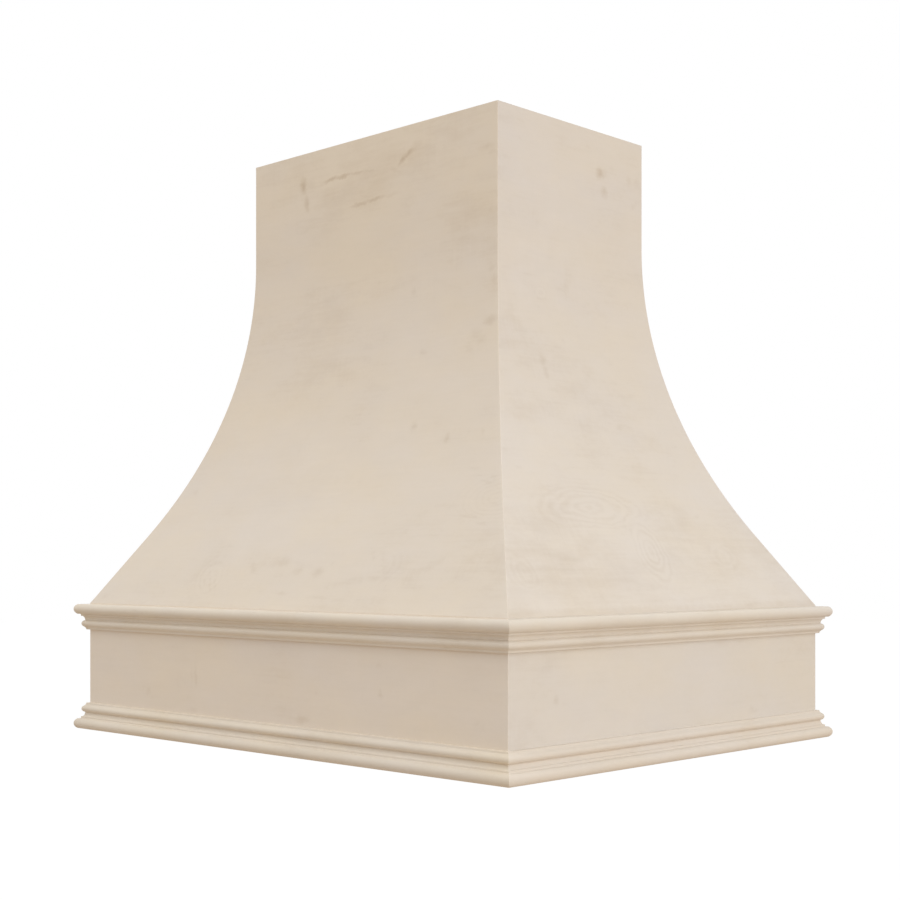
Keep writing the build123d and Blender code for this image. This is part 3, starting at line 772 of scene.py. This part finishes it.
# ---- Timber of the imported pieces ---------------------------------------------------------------
PLIES = 1 / 0.00127
rib_wood = {
    "front": birch_plywood("birch_long_side_ribs", 0.0, 0, PLIES, math.pi / 2, 1.0),
    "left": birch_plywood("birch_short_side_ribs", 0.0, 1, PLIES, math.pi / 2, 2.0),
}
hip_wood = {
    "rising": birch_plywood("birch_hips_rising", math.pi / 4, 0, PLIES, 0.0, 3.0),
    "falling": birch_plywood("birch_hips_falling", math.pi / 4, 1, PLIES, 0.0, 4.0),
}
shelf_wood = birch_plywood("birch_shelf", 0.0, 2, PLIES, 0.0, 5.0)
spline_wood = birch_plywood("birch_splines", -math.pi / 4, 0, PLIES, 0.0, 6.0, mirrored=True)
long_poplar = poplar("poplar_long_rails", 0.0, 1.0)
short_poplar = poplar("poplar_short_rails", math.pi / 2, 2.0)
block_poplar = poplar("poplar_blocks", 0.0, 3.0, upright=True)
screw_zinc = zinc("zinc_plate")


def finish_of(node):
    """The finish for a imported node, from its name."""
    if node == "shelf_screws":
        return screw_zinc
    if node == "insert_shelf":
        return shelf_wood
    if node == "corner_splines":
        return spline_wood
    if node.endswith("_corner_block"):
        return block_poplar
    if node.endswith("_hip_rib"):
        return hip_wood["rising" if node in ("front_left_hip_rib", "back_right_hip_rib") else "falling"]
    on_long_side = node.startswith(("front", "back"))
    if "_rib_" in node:
        return rib_wood["front" if on_long_side else "left"]
    return long_poplar if on_long_side else short_poplar


for node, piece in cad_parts.items():
    if not piece.hide_render:
        piece.data.materials.clear()
        piece.data.materials.append(finish_of(node))

# ---- Floor, light and camera -------------------------------------------------------------------
FLOOR_LEVEL = -1.65  # the cover hangs from a ceiling, so the floor is far below it
FLOOR_HALF = 40.0
MIDDLE_LEVEL = 0.4  # what the lamps point at


def pale_floor():
    """A square of warm floor that keeps its shadows and shows white to the camera.

    The glow that the camera sees is 1 minus what the floor sends back of the even light.
    """
    half = FLOOR_HALF
    corners = [(-half, -half, FLOOR_LEVEL), (half, -half, FLOOR_LEVEL)]
    corners += [(half, half, FLOOR_LEVEL), (-half, half, FLOOR_LEVEL)]
    mesh = bpy.data.meshes.new("floor")
    mesh.from_pydata(corners, [], [(0, 1, 2, 3)])
    floor = bpy.data.objects.new("floor", mesh)
    bpy.context.scene.collection.objects.link(floor)
    finish = Finish("pale_floor")
    seen = finish.add("ShaderNodeLightPath", {}, "Is Camera Ray")
    matt = finish.add("ShaderNodeBsdfDiffuse", {"Color": (0.615, 0.51, 0.41, 1)})
    glow = finish.add("ShaderNodeEmission", {"Color": (0.60, 0.67, 0.74, 1), "Strength": seen})
    both = finish.add("ShaderNodeAddShader", {0: matt, 1: glow})
    finish.add("ShaderNodeOutputMaterial", {"Surface": both})
    mesh.materials.append(finish.material)


def soft_box(name, place, size, power):
    """A square white lamp that faces the cover's middle."""
    lamp = bpy.data.lights.new(name, "AREA")
    lamp.size = size
    lamp.energy = power
    holder = bpy.data.objects.new(name, lamp)
    bpy.context.scene.collection.objects.link(holder)
    away = np.array(place) - np.array((0, 0, MIDDLE_LEVEL))
    holder.location = place
    tilt = math.atan2(math.hypot(away[0], away[1]), away[2])
    holder.rotation_euler = (tilt, 0.0, math.atan2(away[1], away[0]) + math.pi / 2)
    holder.visible_camera = False


def studio_world(strength):
    """Even white light; rays from the camera, and those off gloss, see full white."""
    world = bpy.data.worlds.new("studio")
    world.use_nodes = True
    tree = world.node_tree
    tree.nodes.clear()
    path = tree.nodes.new("ShaderNodeLightPath")
    either = tree.nodes.new("ShaderNodeMath")
    either.operation = "MAXIMUM"
    any_seen = tree.nodes.new("ShaderNodeMath")
    any_seen.operation = "MAXIMUM"
    tree.links.new(path.outputs["Is Camera Ray"], either.inputs[0])
    tree.links.new(path.outputs["Is Glossy Ray"], either.inputs[1])
    tree.links.new(either.outputs[0], any_seen.inputs[0])
    tree.links.new(path.outputs["Is Transmission Ray"], any_seen.inputs[1])
    even = tree.nodes.new("ShaderNodeBackground")
    even.inputs["Color"].default_value = (1, 1, 1, 1)
    even.inputs["Strength"].default_value = strength
    white = tree.nodes.new("ShaderNodeBackground")
    white.inputs["Color"].default_value = (1, 1, 1, 1)
    mixed = tree.nodes.new("ShaderNodeMixShader")
    tree.links.new(any_seen.outputs[0], mixed.inputs[0])
    tree.links.new(even.outputs[0], mixed.inputs[1])
    tree.links.new(white.outputs[0], mixed.inputs[2])
    output = tree.nodes.new("ShaderNodeOutputWorld")
    tree.links.new(mixed.outputs[0], output.inputs[0])
    bpy.context.scene.world = world


pale_floor()
studio_world(0.66)
soft_box("front_steep", (-0.5, -2.6, 5.4), 2.5, 67.0)
soft_box("front_high", (-1, -4.5, 4), 3.0, 15.6)
soft_box("right_high", (4.5, 0, 4), 3.0, 37.0)
soft_box("right_low", (4.5, -0.5, 0.4), 2.0, 50.5)

# The camera that was fitted to the photo's straight edges, in the photo's pixels.
PICTURE_SIDE = 900
FOCAL_LENGTH = 1534.97
MIDDLE_COLUMN = 452.40
HORIZON_ROW = 558.86
SENSOR = 36.0

lens = bpy.data.cameras.new("camera")
lens.sensor_width = SENSOR
lens.lens = SENSOR * FOCAL_LENGTH / PICTURE_SIDE
lens.shift_x = (PICTURE_SIDE / 2 - MIDDLE_COLUMN) / PICTURE_SIDE
lens.shift_y = (HORIZON_ROW - PICTURE_SIDE / 2) / PICTURE_SIDE
camera = bpy.data.objects.new("camera", lens)
bpy.context.scene.collection.objects.link(camera)
camera.location = (1.7038, -1.7427, 0.2767)
camera.rotation_euler = (math.pi / 2, 0.0, math.radians(44.023))
bpy.context.scene.camera = camera
bpy.context.scene.view_settings.view_transform = "Standard"
